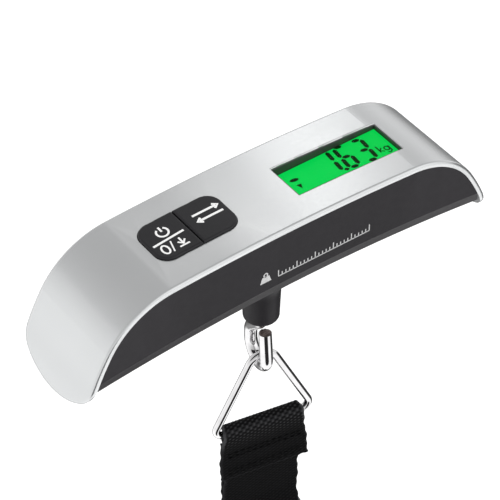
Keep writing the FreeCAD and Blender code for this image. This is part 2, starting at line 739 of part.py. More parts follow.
def display():
    """Clear window, glass display, light guide and the two contact strips, on the board."""
    x, y = "Dim.window_x", "Dim.window_y"
    inside = "2 * (Dim.bezel_lip + Dim.bezel_gap)"
    window_low = "Dim.window_top - Dim.window_thickness"
    named(box(f"Dim.window_length - {inside}", f"Dim.window_width - {inside}", "Dim.window_thickness",
              x, y, window_low), "display_window")
    glass_low = f"{window_low} - Dim.lcd_thickness"
    named(box("Dim.lcd_length", "Dim.lcd_width", "Dim.lcd_thickness", x, y, glass_low), "lcd_panel")
    gap = f"{glass_low} - Dim.board_top"
    named(box("Dim.lcd_length", "Dim.backlight_width", gap, x, y, "Dim.board_top"), "lcd_backlight")
    offset = "(Dim.lcd_width / 2 - Dim.strip_inset)"
    strips = [box("Dim.lcd_length - 2 * Dim.strip_end", "Dim.strip_width", gap, x,
                  f"{y} + {side} * {offset}", "Dim.board_top") for side in (-1, 1)]
    group(strips, "lcd_contact_strips")


def key(label, side):
    """One half of the key pair: rounded outer corners, a proud crowned top and a flange below."""
    body = new_body(label)
    outer = f"(Dim.keys_x + {side} * Dim.keys_length / 2)"
    inner = f"(Dim.keys_x + {side} * Dim.key_gap)"
    low, high = (outer, inner) if side < 0 else (inner, outer)
    top = "(Dim.crown_radius + Dim.keys_rise)"
    heights = [f"{CROWN_CENTRE[1]} + sqrt({top} ^ 2 - {x} ^ 2)" for x in (low, high)]
    flange_top = "Dim.key_flange_top"
    side_view = [(low, flange_top), (high, flange_top), (high, heights[1], top, 1), (low, heights[0])]
    pad(body, outline_sketch(body, "XZ_Plane", side_view), "Dim.keys_width", symmetric=True)
    fillet(body, "Dim.keys_corner", lambda edge: upright_at(edge, value(outer)))
    shoulder = value("Dim.crown_top - 2 * Dim.keys_rise")
    fillet(body, "Dim.key_round", lambda edge: edge.BoundBox.ZMin > shoulder)
    far = f"({outer} + {side} * Dim.key_flange)"
    flange_width = "Dim.keys_width + 2 * Dim.key_flange"
    flange = rectangle(f"({far} + {inner}) / 2", 0, f"abs({far} - {inner})", flange_width)
    thick = "Dim.key_flange_thickness"
    pad(body, outline_sketch(body, "XY_Plane", flange, f"{flange_top} - {thick}"), f"{thick} + {OVERLAP}")


def upright_at(edge, x):
    bounds = edge.BoundBox
    tall = bounds.ZLength > value("Dim.keys_rise")
    return tall and abs(bounds.XMin - x) < TOLERANCE and abs(bounds.XMax - x) < TOLERANCE


def key_switches():
    """Two small switches on the board, and the plungers that move with the keys."""
    bodies = []
    for name, sign in (("power", "-"), ("unit", "+")):
        x = f"Dim.keys_x {sign} Dim.keys_length / 4"
        block = box("Dim.switch_side", "Dim.switch_side", "Dim.switch_height", x, 0, "Dim.board_top")
        bore = cylinder("Dim.plunger_radius + Dim.plunger_fit", "Dim.switch_height", x, 0,
                        "Dim.board_top + Dim.switch_floor")
        bodies.append(cut(block, [bore]))
        low = "(Dim.board_top + Dim.plunger_low)"
        stem_height = f"Dim.key_flange_top - Dim.key_flange_thickness - {low}"
        stem = cylinder("Dim.plunger_radius", stem_height, x, 0, low)
        named(stem, f"switch_plunger_{name}")
    group(bodies, "tact_switches")


def circuit_board():
    """Board under the keys and the display, with its sealed controller and its four screws."""
    slab = box("Dim.board_length", "Dim.board_width", "Dim.board_thickness", "Dim.board_x", 0, BOARD_LOW)
    holes = [cylinder("Dim.board_hole_radius", "Dim.board_top", x, y, f"{BOARD_LOW} - Dim.board_thickness")
             for x, y in BOARD_SCREWS]
    named(cut(slab, holes), "main_board")
    seal = cylinder("Dim.seal_radius", "Dim.seal_height", "Dim.board_screw_right", 0, "Dim.board_top")
    named(seal, "controller_seal")
    screws = [upright_screw("Dim.board_screw_radius", "Dim.board_head_radius", x, y,
                            f"{BOARD_LOW} - Dim.board_head_height", "Dim.board_head_height",
                            "Dim.board_top + Dim.board_screw_reach") for x, y in BOARD_SCREWS]
    group(screws, "board_screws")


def load_cell():
    """Bending beam: bored through sideways on each side of the hook, with gauges over the thin webs."""
    width = "Dim.beam_width"
    beam = box("Dim.beam_length", width, "Dim.beam_height", 0, 0, "Dim.beam_bottom")
    middle = "(Dim.beam_bottom + Dim.beam_height / 2)"
    tools = [cylinder("Dim.beam_hole_radius", ABOVE, 0, 0, 0)]
    for side in (-1, 1):
        slot_x = f"{side} * Dim.beam_slot_x"
        for end in (-1, 1):
            hole_x = f"{slot_x} + {end} * Dim.beam_slot_length / 2"
            tools.append(cross_cylinder("Dim.beam_slot_radius", f"2 * {width}", hole_x, middle))
        tools.append(box("Dim.beam_slot_length", f"2 * {width}", "Dim.beam_slit", slot_x, 0,
                         f"{middle} - Dim.beam_slit / 2"))
    tools += [cylinder("Dim.beam_screw_hole", ABOVE, x, 0, 0) for x in BEAM_SCREWS]
    named(cut(beam, tools), "load_cell")
    screws = [upright_screw("Dim.beam_screw_radius", "Dim.beam_head_radius", x, 0,
                            f"{BEAM_TOP} + Dim.thread_gap", "Dim.beam_head_height", "Dim.beam_screw_tip")
              for x in BEAM_SCREWS]
    group(screws, "load_cell_screws")
    thick = "Dim.gauge_thickness"
    gauges = [box("Dim.gauge_length", "Dim.gauge_width", thick, f"{side} * Dim.beam_slot_x", 0, z)
              for side in (-1, 1) for z in (BEAM_TOP, f"Dim.beam_bottom - {thick}")]
    group(gauges, "strain_gauges")
    load_cell_leads()


def load_cell_leads():
    """Four leads side by side, from the end of the left upper gauge up to the board."""
    level = value(f"{BEAM_TOP} + Dim.lead_radius + Dim.lead_gap")
    gauge_end = value("-Dim.beam_slot_x - Dim.gauge_length / 2 - Dim.lead_gap")
    rise, pitch, bend = value("-Dim.post_inner + 1"), 1.2, 1.2
    leads = []
    for place in (-1.5, -0.5, 0.5, 1.5):
        route = [(gauge_end, level), (rise, level), (rise, value(LEAD_TOP))]
        leads.append(wire([FreeCAD.Vector(x, place * pitch, z) for x, z in route], [bend]))
    group(leads, "load_cell_wires")


def battery():
    """Coin cell, with a leaf contact above it and a tab contact at its rim, each pinned through the roof."""
    x, roof = "Dim.bay_x", "Dim.bay_roof"
    wide, thick, clear = "Dim.contact_width", "Dim.contact_thickness", "Dim.contact_clearance"
    named(cylinder("Dim.cell_radius", "Dim.cell_height", x, 0, "Dim.cell_bottom"), "coin_cell")
    top = "(Dim.cell_bottom + Dim.cell_height)"
    under_roof = f"({roof} - {thick} - {clear})"
    pins = [cylinder("Dim.pin_radius", "Dim.pin_height", pin, 0, f"{roof} - {thick} / 2 - {OVERLAP}")
            for pin in CONTACT_PINS]
    leaf = box("Dim.leaf_length", wide, thick, x, 0, under_roof)
    button = cylinder("Dim.button_radius", f"{roof} - {thick} - {top}", x, 0, f"{top} + {clear} / 2")
    named(joined([leaf, button, pins[1]]), "battery_contact_negative")
    wall = f"({x} - Dim.bay_length / 2 + Dim.tab_gap)"
    tab = box(thick, wide, f"{roof} - Dim.cell_bottom", wall, 0, f"Dim.cell_bottom - {clear}")
    foot = box("Dim.tab_foot", wide, thick, f"{wall} + (Dim.tab_foot - {thick}) / 2", 0, under_roof)
    named(joined([tab, foot, pins[0]]), "battery_contact_positive")
    battery_leads()


def battery_leads():
    """Two leads from the contacts' pins, along the bay's roof and round its side, up to the board."""
    low = value("Dim.bay_roof - Dim.contact_thickness / 2 + Dim.pin_height")
    outside, turn, spread, bend = 13, 15.5, 5, 1.5
    leads = []
    for pin, side in zip(CONTACT_PINS, (-spread, spread)):
        route = [(0, low), (0, outside), (side, turn), (side, value(LEAD_TOP))]
        leads.append(wire([FreeCAD.Vector(value(pin), y, z) for y, z in route], [bend, bend]))
    group(leads, "battery_wires")


def case_screws():
    """Two screws from below into the cover's posts."""
    screws = [upright_screw("Dim.case_screw_radius", "Dim.case_head_radius", x, 0, "Dim.case_head_low",
                            "Dim.case_head_height", "Dim.case_screw_tip") for x in CASE_SCREWS]
    group(screws, "case_screws")


# Bent wires and bands.

def rounded_path(corners, radii):
    """Edges through the corners, with each inner corner rounded to its radius."""
    edges, start = [], corners[0]
    for before, corner, after, radius in zip(corners, corners[1:], corners[2:], radii):
        back = (before - corner).normalize()
        ahead = (after - corner).normalize()
        half = back.getAngle(ahead) / 2
        reach = radius / math.tan(half)
        first, last = corner + back * reach, corner + ahead * reach
        axis = (back + ahead).normalize()
        middle = corner + axis * (radius / math.sin(half) - radius)
        if (first - start).Length > TOLERANCE:
            edges.append(Part.LineSegment(start, first).toShape())
        edges.append(Part.Arc(first, middle, last).toShape())
        start = last
    edges.append(Part.LineSegment(start, corners[-1]).toShape())
    return edges


def swept(edges, section):
    """Solid of a section carried along a path."""
    part = doc.addObject("Part::Feature", "Swept")
    part.Shape = Part.Wire(edges).makePipeShell([section], True, False)
    return part


def round_section(start, along, radius):
    return Part.Wire([Part.Circle(start, along, radius).toShape()])


def wire(corners, radii, radius=None):
    """Round wire through the corners, as thick as an insulated lead where no radius is given."""
    radius = radius or value("Dim.lead_radius")
    return swept(rounded_path(corners, radii), round_section(corners[0], corners[1] - corners[0], radius))


def in_hook_plane(points):
    """Points (y, z) in the plane x = 0."""
    return [FreeCAD.Vector(0, y, z) for y, z in points]


# Hook, ring, webbing and buckle, modelled with the ring's bar along X.

def hook():
    """Bent rod: a straight shank in the stem, a swing to the back and a bend up to the cut tip."""
    low, back, front = (value(f"Dim.hook_{name}") for name in ("low", "back", "front"))
    knee, elbow = value("Dim.hook_knee"), value("Dim.hook_elbow")
    bend = (back - front) / 2 - OVERLAP
    tip = (value("Dim.hook_tip_y"), value("Dim.hook_tip_z"))
    points = [(0, value("Dim.hook_top")), (0, knee), (back, elbow), (back, low), (front, low), tip]
    radii = [value("Dim.hook_knee_bend"), value("Dim.hook_elbow_bend"), bend, bend * 0.9]
    named(hang(wire(in_hook_plane(points), radii, value("Dim.rod_radius"))), "hook")


def hook_fasteners():
    """Washer and nut on the hook's shank, above the load cell."""
    thread = "Dim.rod_radius + Dim.thread_gap"
    ring = cylinder("Dim.washer_radius", "Dim.washer_height", 0, 0, f"{BEAM_TOP} + Dim.washer_gap")
    named(hang(cut(ring, [cylinder(thread, "Dim.beam_height", 0, 0, BEAM_TOP)])), "hook_washer")
    prism = doc.addObject("Part::Prism", "Prism")
    prism.Polygon = 6
    prism.setExpression("Circumradius", "Dim.nut_radius")
    prism.setExpression("Height", "Dim.nut_height")
    place(prism, 0, 0, f"{BEAM_TOP} + Dim.nut_gap")
    named(hang(cut(prism, [cylinder(thread, "Dim.beam_height", 0, 0, BEAM_TOP)])), "hook_nut")


def triangle_ring():
    """Triangle of round wire with a bent top and two bent corners, drawn from the middle of its bar."""
    plane, top, bar = (value(f"Dim.ring_{name}") for name in ("plane", "top", "bar"))
    lean = math.radians(value("Dim.ring_half_angle"))
    bend = value("Dim.ring_top_bend")
    apex = top + bend / math.sin(lean) - bend
    half = (apex - bar) * math.tan(lean)
    corner = value("Dim.ring_corner_bend")
    corners = [(0, bar), (half, bar), (0, apex), (-half, bar), (0, bar)]
    corners = [FreeCAD.Vector(x, plane, z) for x, z in corners]
    ring = wire(corners, [corner, bend, corner], value("Dim.wire_radius"))
    named(hang(ring, "Dim.ring_side"), "triangle_ring")


def band(points, radii, label):
    """Webbing along a path: the full width across, the webbing's thickness in the path's plane."""
    half, thick = value("Dim.webbing_width / 2"), value("Dim.webbing_thickness")
    corners = in_hook_plane(points)
    start = corners[0]
    along = (corners[1] - start).normalize()
    side = FreeCAD.Vector(0, -along.z, along.y) * (thick / 2)
    across = FreeCAD.Vector(half, 0, 0)
    edge = [start - across - side, start + across - side, start + across + side, start - across + side]
    section = Part.makePolygon(edge + edge[:1])
    named(hang(swept(rounded_path(corners, radii), section), "Dim.ring_side"), label)


def webbing():
    """Strap folded over the ring's bar and sewn to itself, hanging as a loop; and the buckle's tab."""
    plane, bar = value("Dim.ring_plane"), value("Dim.ring_bar")
    fold = value("Dim.wire_radius + Dim.webbing_thickness / 2 + Dim.webbing_gap")
    buckle, plug = value("Dim.buckle_plane"), value("Dim.plug_bottom")
    front, back, shoulder, bottom, bend = (value(f"Dim.loop_{name}")
                                           for name in ("front", "back", "shoulder", "bottom", "bend"))
    seam, sewn = bar - value("Dim.seam_depth"), value("Dim.seam_half")
    lead, gap = value("Dim.tab_lead"), value("Dim.latch_gap")
    strap = [(plane - sewn, seam), (plane - fold, bar + fold), (plane + fold, bar + fold),
             (plane + sewn, seam), (plane + value("Dim.strap_shift"), seam - value("Dim.strap_ease")),
             (front, shoulder), (front, bottom), (back, bottom), (back, plug - value("Dim.plug_lead")),
             (buckle, plug - lead), (buckle, plug - gap)]
    over_bar = fold * value("Dim.fold_share")
    seam_bend, strap_bend = value("Dim.seam_bend"), value("Dim.strap_bend")
    sewn_bends = [over_bar, over_bar, seam_bend, strap_bend]
    loop_bends = [value("Dim.shoulder_bend"), bend, bend, strap_bend, lead]
    band(strap, sewn_bends + loop_bends, "strap_webbing")
    tab = [(plane + value("Dim.tab_top_shift"), bar - lead), (plane + value("Dim.tab_seam_shift"), seam),
           (plane + value("Dim.tab_low_shift"), seam - value("Dim.tab_low")),
           (buckle, seam - value("Dim.tab_turn")), (buckle, value("Dim.socket_top") + gap)]
    band(tab, [seam_bend, value("Dim.tab_bend"), value("Dim.tab_end_bend")], "buckle_tab")


def buckle_slab(body, corners, thickness):
    """Pad of an outline drawn in X and Z, centred on the buckle's plane."""
    sketch = outline_sketch(body, "XZ_Plane", corners, "-Dim.buckle_plane")
    pad(body, sketch, thickness, symmetric=True)


def span(x0, x1, z0, z1):
    """Corners of a rectangle between two widths and two heights."""
    return [(x0, z0), (x1, z0), (x1, z1), (x0, z1)]


def buckle_socket():
    """Female half: a flat box open at the bottom, with side windows and a bar for the tab."""
    body = new_body("buckle_socket")
    half, top, low = "Dim.buckle_width / 2", "Dim.socket_top", "Dim.socket_bottom"
    deep = value("Dim.socket_room_depth")
    buckle_slab(body, span(f"-{half}", half, low, top), "Dim.buckle_thickness")
    fillet(body, "Dim.socket_corner",
           lambda edge: edge.BoundBox.YLength > deep and edge.BoundBox.ZMin > value(top) - OVERLAP)
    fillet(body, "Dim.socket_edge",
           lambda edge: edge.BoundBox.YLength < deep and edge.BoundBox.ZMax > value(low) + OVERLAP)
    room = rectangle(0, "Dim.buckle_plane", "Dim.socket_room_width", "Dim.socket_room_depth")
    pocket(body, outline_sketch(body, "XY_Plane", room, low), "Dim.socket_room_height")
    window = rectangle("Dim.buckle_plane", f"{low} + Dim.socket_window_level", "Dim.socket_room_depth",
                       "Dim.socket_window_height")
    pocket(body, outline_sketch(body, "YZ_Plane", window))
    webbing_slot(body, f"{top} - Dim.socket_slot_depth")


def webbing_slot(body, level):
    """Slot through a buckle half that webbing is threaded through."""
    half, rise = "Dim.buckle_slot_half", "Dim.buckle_slot_height / 2"
    corners = span(f"-{half}", half, f"{level} - {rise}", f"{level} + {rise}")
    pocket(body, outline_sketch(body, "XZ_Plane", corners))


def buckle_plug():
    """Male half: a base with two slots for the strap and a guide between the latches."""
    body = new_body("buckle_plug")
    half, top, low = "Dim.buckle_width / 2", "(Dim.socket_bottom - Dim.plug_gap)", "Dim.plug_bottom"
    deep = value("Dim.buckle_thickness / 2")
    buckle_slab(body, span(f"-{half}", half, low, top), "Dim.buckle_thickness - Dim.plug_step")
    fillet(body, "Dim.plug_corner",
           lambda edge: edge.BoundBox.YLength > deep and edge.BoundBox.ZMax < value(low) + OVERLAP)
    fillet(body, "Dim.plug_edge",
           lambda edge: edge.BoundBox.YLength < deep and edge.BoundBox.ZMin < value(top) - OVERLAP)
    guide = span("-Dim.guide_half", "Dim.guide_half", f"{top} - Dim.guide_root", f"{top} + Dim.guide_height")
    buckle_slab(body, guide, "Dim.guide_thickness")
    for row in (0, 1):
        webbing_slot(body, f"{top} - Dim.plug_slot_depth - {row} * Dim.plug_slot_pitch")


# Outline of a latch's head: distances from the buckle's middle and above the latch's root.
LATCH_HEAD = [(11.6, 9), (16, 9.4), (15.2, 17), (12.4, 20.4), (9.8, 20.4), (8.9, 12)]


def buckle_latch(label, side):
    """Springy arm of the plug: a thin root, and a head that snaps into the socket's window."""
    body = new_body(label)
    root = "(Dim.socket_bottom - Dim.latch_gap)"
    heel_rise = f"{root} + Dim.latch_heel_rise"
    corners = [(f"{side} * Dim.latch_heel_outer", heel_rise)]
    corners += [(f"{side} * {x}", f"{root} + {z}") for x, z in LATCH_HEAD]
    corners.append((f"{side} * Dim.latch_heel_inner", heel_rise, "Dim.latch_heel", side))
    buckle_slab(body, corners, "Dim.latch_thickness")
    thick = value("Dim.latch_thickness")
    fillet(body, "Dim.latch_round",
           lambda edge: edge.BoundBox.YLength > thick - OVERLAP and edge.BoundBox.ZMin > value(root) + thick)


BUCKLE_PARTS = ("buckle_socket", "buckle_plug", "buckle_latch_left", "buckle_latch_right")

top_cover()
lower_housing()
battery_cover()
stem_sleeve()
display_bezel()
display()
key("key_power_zero", -1)
key("key_unit", 1)
key_switches()
circuit_board()
load_cell()
battery()
case_screws()
hook()
hook_fasteners()
triangle_ring()
webbing()
buckle_socket()
buckle_plug()
buckle_latch("buckle_latch_left", -1)
buckle_latch("buckle_latch_right", 1)
for part in parts:
    if part.Label in BUCKLE_PARTS:
        hang(part, "Dim.ring_side")
doc.recompute()


# Checks and export.

for item in doc.Objects:
    if "Invalid" in item.State or "Error" in item.State:
        raise RuntimeError(f"{item.Name} ({item.Label}) failed: {item.State}")
os.makedirs("parts", exist_ok=True)
for part in parts:
    if part.Shape.isNull() or not part.Shape.isValid() or not part.Shape.Solids:
        raise RuntimeError(f"{part.Label} has no valid solid")
for part in parts:
    part.Shape.exportStep(os.path.join("parts", part.Label + ".step"))
    print(f"{part.Label:28s} {len(part.Shape.Solids):2d} solids {part.Shape.Volume:10.1f} mm3")
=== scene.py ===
import json
import math
import random

import bpy
from mathutils import Matrix, Vector
from mathutils.bvhtree import BVHTree


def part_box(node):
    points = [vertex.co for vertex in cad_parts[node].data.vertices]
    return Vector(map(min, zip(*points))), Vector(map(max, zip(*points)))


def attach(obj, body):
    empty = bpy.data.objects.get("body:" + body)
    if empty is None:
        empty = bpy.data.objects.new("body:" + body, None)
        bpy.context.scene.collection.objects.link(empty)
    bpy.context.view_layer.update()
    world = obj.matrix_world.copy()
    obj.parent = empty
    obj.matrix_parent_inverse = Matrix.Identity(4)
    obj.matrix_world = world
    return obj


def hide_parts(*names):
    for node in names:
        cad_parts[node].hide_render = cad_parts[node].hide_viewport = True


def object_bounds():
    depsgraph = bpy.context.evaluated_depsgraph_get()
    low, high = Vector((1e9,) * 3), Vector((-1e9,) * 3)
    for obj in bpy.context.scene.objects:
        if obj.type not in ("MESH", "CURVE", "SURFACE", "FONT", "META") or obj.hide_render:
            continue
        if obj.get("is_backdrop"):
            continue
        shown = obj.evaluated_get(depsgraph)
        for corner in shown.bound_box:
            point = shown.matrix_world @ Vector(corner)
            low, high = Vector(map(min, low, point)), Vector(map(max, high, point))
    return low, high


# The luggage scale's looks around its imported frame: paint, plastics, chrome, a lit display, printed
# marks and woven webbing. Metres throughout.

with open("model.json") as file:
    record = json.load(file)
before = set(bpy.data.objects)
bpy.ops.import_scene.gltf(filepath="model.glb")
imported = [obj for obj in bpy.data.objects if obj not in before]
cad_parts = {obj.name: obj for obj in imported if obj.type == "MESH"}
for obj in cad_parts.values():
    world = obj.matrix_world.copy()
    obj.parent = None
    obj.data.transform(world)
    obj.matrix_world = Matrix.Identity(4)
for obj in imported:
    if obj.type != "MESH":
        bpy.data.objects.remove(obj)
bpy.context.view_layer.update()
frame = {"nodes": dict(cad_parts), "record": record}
random.seed(7)

MM = 0.001
UP = Vector((0, 0, 1))
JOINTS = {joint["name"]: joint for joint in frame["record"]["behaviour"]["joints"]}

# The hanging parts have axes of their own: across the webbing, backward and up. BAR is the middle of the
# ring's bar, SIDE its place across, and BUCKLE the buckle's place backward.
BAR = Vector(JOINTS["strap_swing"]["pos_m"])
ACROSS = Vector(JOINTS["strap_swing"]["axis"]).normalized()
BACKWARD = Vector(JOINTS["ring_swing"]["axis"]).normalized()
HANG = Matrix((ACROSS, BACKWARD, UP)).transposed()
SIDE = BAR.dot(ACROSS)
BUCKLE = Vector(JOINTS["latch_left_squeeze"]["pos_m"]).dot(BACKWARD)


# Node trees.

class Nodes:
    """A node tree, built by short calls."""

    def __init__(self, tree):
        self.tree = tree

    def set(self, node, socket, value):
        """Set a socket to a value, or link it to another node's output."""
        if isinstance(value, bpy.types.NodeSocket):
            self.tree.links.new(value, node.inputs[socket])
        else:
            node.inputs[socket].default_value = value

    def add(self, kind, **sockets):
        """New node; underscores in the names of its sockets stand for spaces."""
        node = self.tree.nodes.new("ShaderNode" + kind)
        for socket, value in sockets.items():
            self.set(node, socket.replace("_", " "), value)
        return node

    def times(self, first, second):
        """Product of two factors, each a number or another node's output."""
        node = self.add("Math")
        node.operation = "MULTIPLY"
        self.set(node, 0, first)
        self.set(node, 1, second)
        return node.outputs[0]


class Finish(Nodes):
    """A material with a Principled shader, and the patterns that the finishes share."""

    def __init__(self, name, color, roughness, metallic=0.0):
        self.material = bpy.data.materials.new(name)
        self.material.use_nodes = True
        super().__init__(self.material.node_tree)
        self.shader = self.tree.nodes["Principled BSDF"]
        self.set(self.shader, "Base Color", (*color, 1))
        self.set(self.shader, "Roughness", roughness)
        self.set(self.shader, "Metallic", metallic)

    def place(self):
        return self.add("TexCoord").outputs["Object"]

    def stretched(self, x, y, z):
        mapping = self.add("Mapping", Vector=self.place(), Scale=(x, y, z))
        return mapping.outputs["Vector"]

    def noise(self, scale, detail=2.0, vector=None):
        """Noise whose features are about one over scale metres wide."""
        node = self.add("TexNoise", Vector=vector or self.place(), Scale=scale, Detail=detail)
        return node.outputs["Fac"]

    def ramp(self, factor, low, high, start=0.3, end=0.7):
        """Tone or colour that goes from low to high as the factor goes from start to end."""
        node = self.add("ValToRGB", Fac=factor)
        for element, color, position in zip(node.color_ramp.elements, (low, high), (start, end)):
            element.color = (*color, 1) if isinstance(color, tuple) else (color, color, color, 1)
            element.position = position
        return node.outputs["Color"]

    def range(self, factor, low, high):
        """Number that goes from low to high as the factor goes from 0 to 1."""
        node = self.add("MapRange", Value=factor, To_Min=low, To_Max=high)
        return node.outputs["Result"]

    def bump(self, *layers):
        """Stack of (height, distance in metres, strength) bumps."""
        normal = None
        for height, distance, strength in layers:
            node = self.add("Bump", Height=height, Distance=distance, Strength=strength)
            if normal is not None:
                self.set(node, "Normal", normal)
            normal = node.outputs["Normal"]
        self.set(self.shader, "Normal", normal)

    def edge(self, low, high):
        """Factor that rises on convex edges, where paint and texture wear; on the webbing it carries a
        painted highlight on the raised yarns.
        """
        return self.ramp(self.add("NewGeometry").outputs["Pointiness"], 0.0, 1.0, low, high)

    def mix(self, factor, a, b):
        """Colour between a and b; a Mix node's colour sockets share their names, so they go by number."""
        node = self.add("Mix")
        node.data_type = "RGBA"
        for index, value in ((0, factor), (6, a), (7, b)):
            self.set(node, index, (*value, 1) if isinstance(value, tuple) else value)
        return node.outputs[2]


# Finishes.

def silver_paint():
    """Satin silver paint: fine flakes, slow unevenness and slightly rubbed edges."""
    n = Finish("silver_paint", (0.62, 0.63, 0.64), 0.26, metallic=0.8)
    flakes = n.noise(9000, 1)
    cloud = n.noise(45, 3)
    tone = n.ramp(flakes, (0.60, 0.612, 0.618), (0.645, 0.655, 0.66))
    slow = n.ramp(cloud, (0.60, 0.61, 0.615), (0.64, 0.65, 0.655))
    body = n.mix(0.5, tone, slow)
    n.set(n.shader, "Base Color", n.mix(n.edge(0.53, 0.6), body, (0.72, 0.73, 0.735)))
    n.set(n.shader, "Roughness", n.range(n.noise(900, 4), 0.21, 0.27))
    n.set(n.shader, "Coat Weight", 0.12)
    n.set(n.shader, "Coat Roughness", 0.25)
    n.bump((flakes, 0.000004, 0.2), (n.noise(600, 2), 0.00001, 0.1))
    return n.material


def textured_plastic(name, color, rough, grain=2600, sheen=0.0, gloss=0.3):
    """Moulded plastic with a fine spark-eroded grain, faint mottling and lighter worn edges."""
    n = Finish(name, color, rough)
    worn = tuple(min(c * 1.5 + 0.006, 1) for c in color)
    darker = tuple(c * 0.82 for c in color)
    lighter = tuple(c * 1.14 for c in color)
    mottled = n.ramp(n.noise(120, 5), darker, lighter, 0.25, 0.75)
    n.set(n.shader, "Base Color", n.mix(n.edge(0.53, 0.62), mottled, worn))
    n.set(n.shader, "Roughness", n.range(n.noise(500, 4), rough - 0.06, rough + 0.07))
    n.set(n.shader, "Sheen Weight", sheen)
    n.set(n.shader, "Specular IOR Level", gloss)
    n.bump((n.noise(grain, 3), 0.00006, 0.55), (n.noise(grain * 0.3, 2), 0.00004, 0.3))
    return n.material


def polished_chrome():
    """Bright plated wire with a trace of drawing lines and faint haze."""
    n = Finish("polished_chrome", (0.72, 0.715, 0.72), 0.06, metallic=1.0)
    haze = n.noise(300, 4)
    n.set(n.shader, "Base Color", n.ramp(haze, (0.67, 0.665, 0.67), (0.76, 0.755, 0.76)))
    n.set(n.shader, "Roughness", n.range(n.noise(1500, 5), 0.035, 0.12))
    n.bump((n.noise(700, 3, n.stretched(1, 1, 0.15)), 0.00003, 0.12))
    return n.material


def machined_metal(name, color, rough):
    """Turned or milled metal with fine tool lines."""
    n = Finish(name, color, rough, metallic=1.0)
    lines = n.noise(1200, 3, n.stretched(0.1, 1, 1))
    n.set(n.shader, "Base Color", n.ramp(lines, tuple(c * 0.85 for c in color), color))
    n.set(n.shader, "Roughness", n.range(lines, rough - 0.05, rough + 0.1))
    n.bump((lines, 0.00003, 0.3))
    return n.material


def clear_acrylic():
    """Window of clear plastic: mostly see-through, with a soft gloss."""
    n = Finish("clear_acrylic", (0.01, 0.012, 0.01), 0.06)
    n.set(n.shader, "Roughness", n.range(n.noise(400, 3), 0.03, 0.09))
    clear = n.add("BsdfTransparent", Color=(0.97, 1.0, 0.98, 1))
    glancing = n.add("LayerWeight", Blend=0.12).outputs["Fresnel"]
    mixed = n.add("MixShader", Fac=n.range(glancing, 0.015, 0.5))
    n.set(mixed, 1, clear.outputs[0])
    n.set(mixed, 2, n.shader.outputs[0])
    n.set(n.tree.nodes["Material Output"], "Surface", mixed.outputs[0])
    return n.material


def lit_display():
    """Back-lit green display: slow unevenness of the light, and fine dots."""
    n = Finish("lit_display", (0.0, 0.05, 0.008), 0.45)
    n.set(n.shader, "Specular IOR Level", 0.05)
    glow = n.ramp(n.noise(26, 2), (0.001, 0.60, 0.072), (0.002, 0.70, 0.095))
    dots = n.ramp(n.noise(5000, 1), 0.94, 1.0)
    n.set(n.shader, "Emission Color", n.mix(dots, (0.001, 0.52, 0.06), glow))
    n.set(n.shader, "Emission Strength", 0.95)
    return n.material


def segment_ink():
    """Dark liquid-crystal segments with green light bleeding through."""
    n = Finish("segment_ink", (0.002, 0.02, 0.004), 0.4)
    n.set(n.shader, "Base Color", n.ramp(n.noise(900, 2), (0.001, 0.012, 0.003), (0.003, 0.03, 0.006)))
    n.set(n.shader, "Specular IOR Level", 0.05)
    n.set(n.shader, "Emission Color", (0.004, 0.05, 0.008, 1))
    n.set(n.shader, "Emission Strength", 0.2)
    return n.material


def print_ink(name, low, high, glow):
    """Screen print, slightly uneven; glow is painted light, an emission that lifts the white of a print that
    faces up.
    """
    n = Finish(name, high, 0.5)
    n.set(n.shader, "Base Color", n.ramp(n.noise(3500, 3), low, high))
    n.set(n.shader, "Emission Color", (1, 1, 1, 1))
    n.set(n.shader, "Emission Strength", glow)
    n.bump((n.noise(4000, 2), 0.00002, 0.4))
    return n.material


def woven_polyester():
    """Black polyester yarn: fibres along each yarn, a painted highlight on the raised yarns and another on
    the yarns at the fold over the ring's bar, with a little dust.
    """
    n = Finish("woven_polyester", (0.008, 0.008, 0.009), 0.72)
    fibre = n.noise(5200, 3, n.stretched(1, 1, 0.35))
    dust = n.ramp(n.noise(1600, 5), 0.0, 1.0, 0.62, 0.8)
    yarn = n.ramp(fibre, (0.001, 0.001, 0.0012), (0.003, 0.003, 0.0035))
    # Painted highlight: the raised yarns, found by their pointiness, are made lighter.
    raised_yarn_highlight = n.mix(n.edge(0.51, 0.6), yarn, (0.017, 0.017, 0.019))
    dust_and_highlight = n.mix(dust, raised_yarn_highlight, (0.008, 0.008, 0.009))
    # Painted highlight on the raised yarns of the fold over the ring's bar.
    n.set(n.shader, "Base Color", n.mix(painted_fold_highlight(n), dust_and_highlight, (0.055, 0.055, 0.058)))
    n.set(n.shader, "Roughness", n.range(fibre, 0.6, 0.85))
    n.set(n.shader, "Sheen Weight", 0.01)
    n.set(n.shader, "Specular IOR Level", 0.08)
    n.set(n.shader, "Sheen Roughness", 0.4)
    n.bump((fibre, 0.00008, 0.6))
    return n.material


def painted_fold_highlight(n):
    """Factor of the painted highlight on the raised yarns, rising towards the ring's bar where the webbing
    folds over it.
    """
    height = n.add("SeparateXYZ", Vector=n.place()).outputs["Z"]
    near_bar = n.add("MapRange", Value=height, From_Min=BAR.z - 5 * MM, From_Max=BAR.z - 1.5 * MM)
    return n.times(near_bar.outputs["Result"], n.edge(0.5, 0.56))


def cut_steel():
    """Sheared end of the hook's rod: dark bare steel with saw marks."""
    n = Finish("cut_steel", (0.16, 0.12, 0.11), 0.45, metallic=0.8)
    marks = n.noise(2500, 4, n.stretched(0.2, 1, 1))
    n.set(n.shader, "Base Color", n.ramp(marks, (0.09, 0.07, 0.065), (0.24, 0.19, 0.18)))
    n.bump((marks, 0.00005, 0.5))
    return n.material


def floor_white():
    """Pale studio floor with a barely visible tone."""
    n = Finish("floor_white", (0.97, 0.97, 0.97), 0.9)
    n.set(n.shader, "Base Color", n.ramp(n.noise(3, 2), (0.96, 0.96, 0.96), (0.98, 0.98, 0.98)))
    n.set(n.shader, "Emission Color", (1, 1, 1, 1))
    n.set(n.shader, "Emission Strength", 0.5)
    return n.material


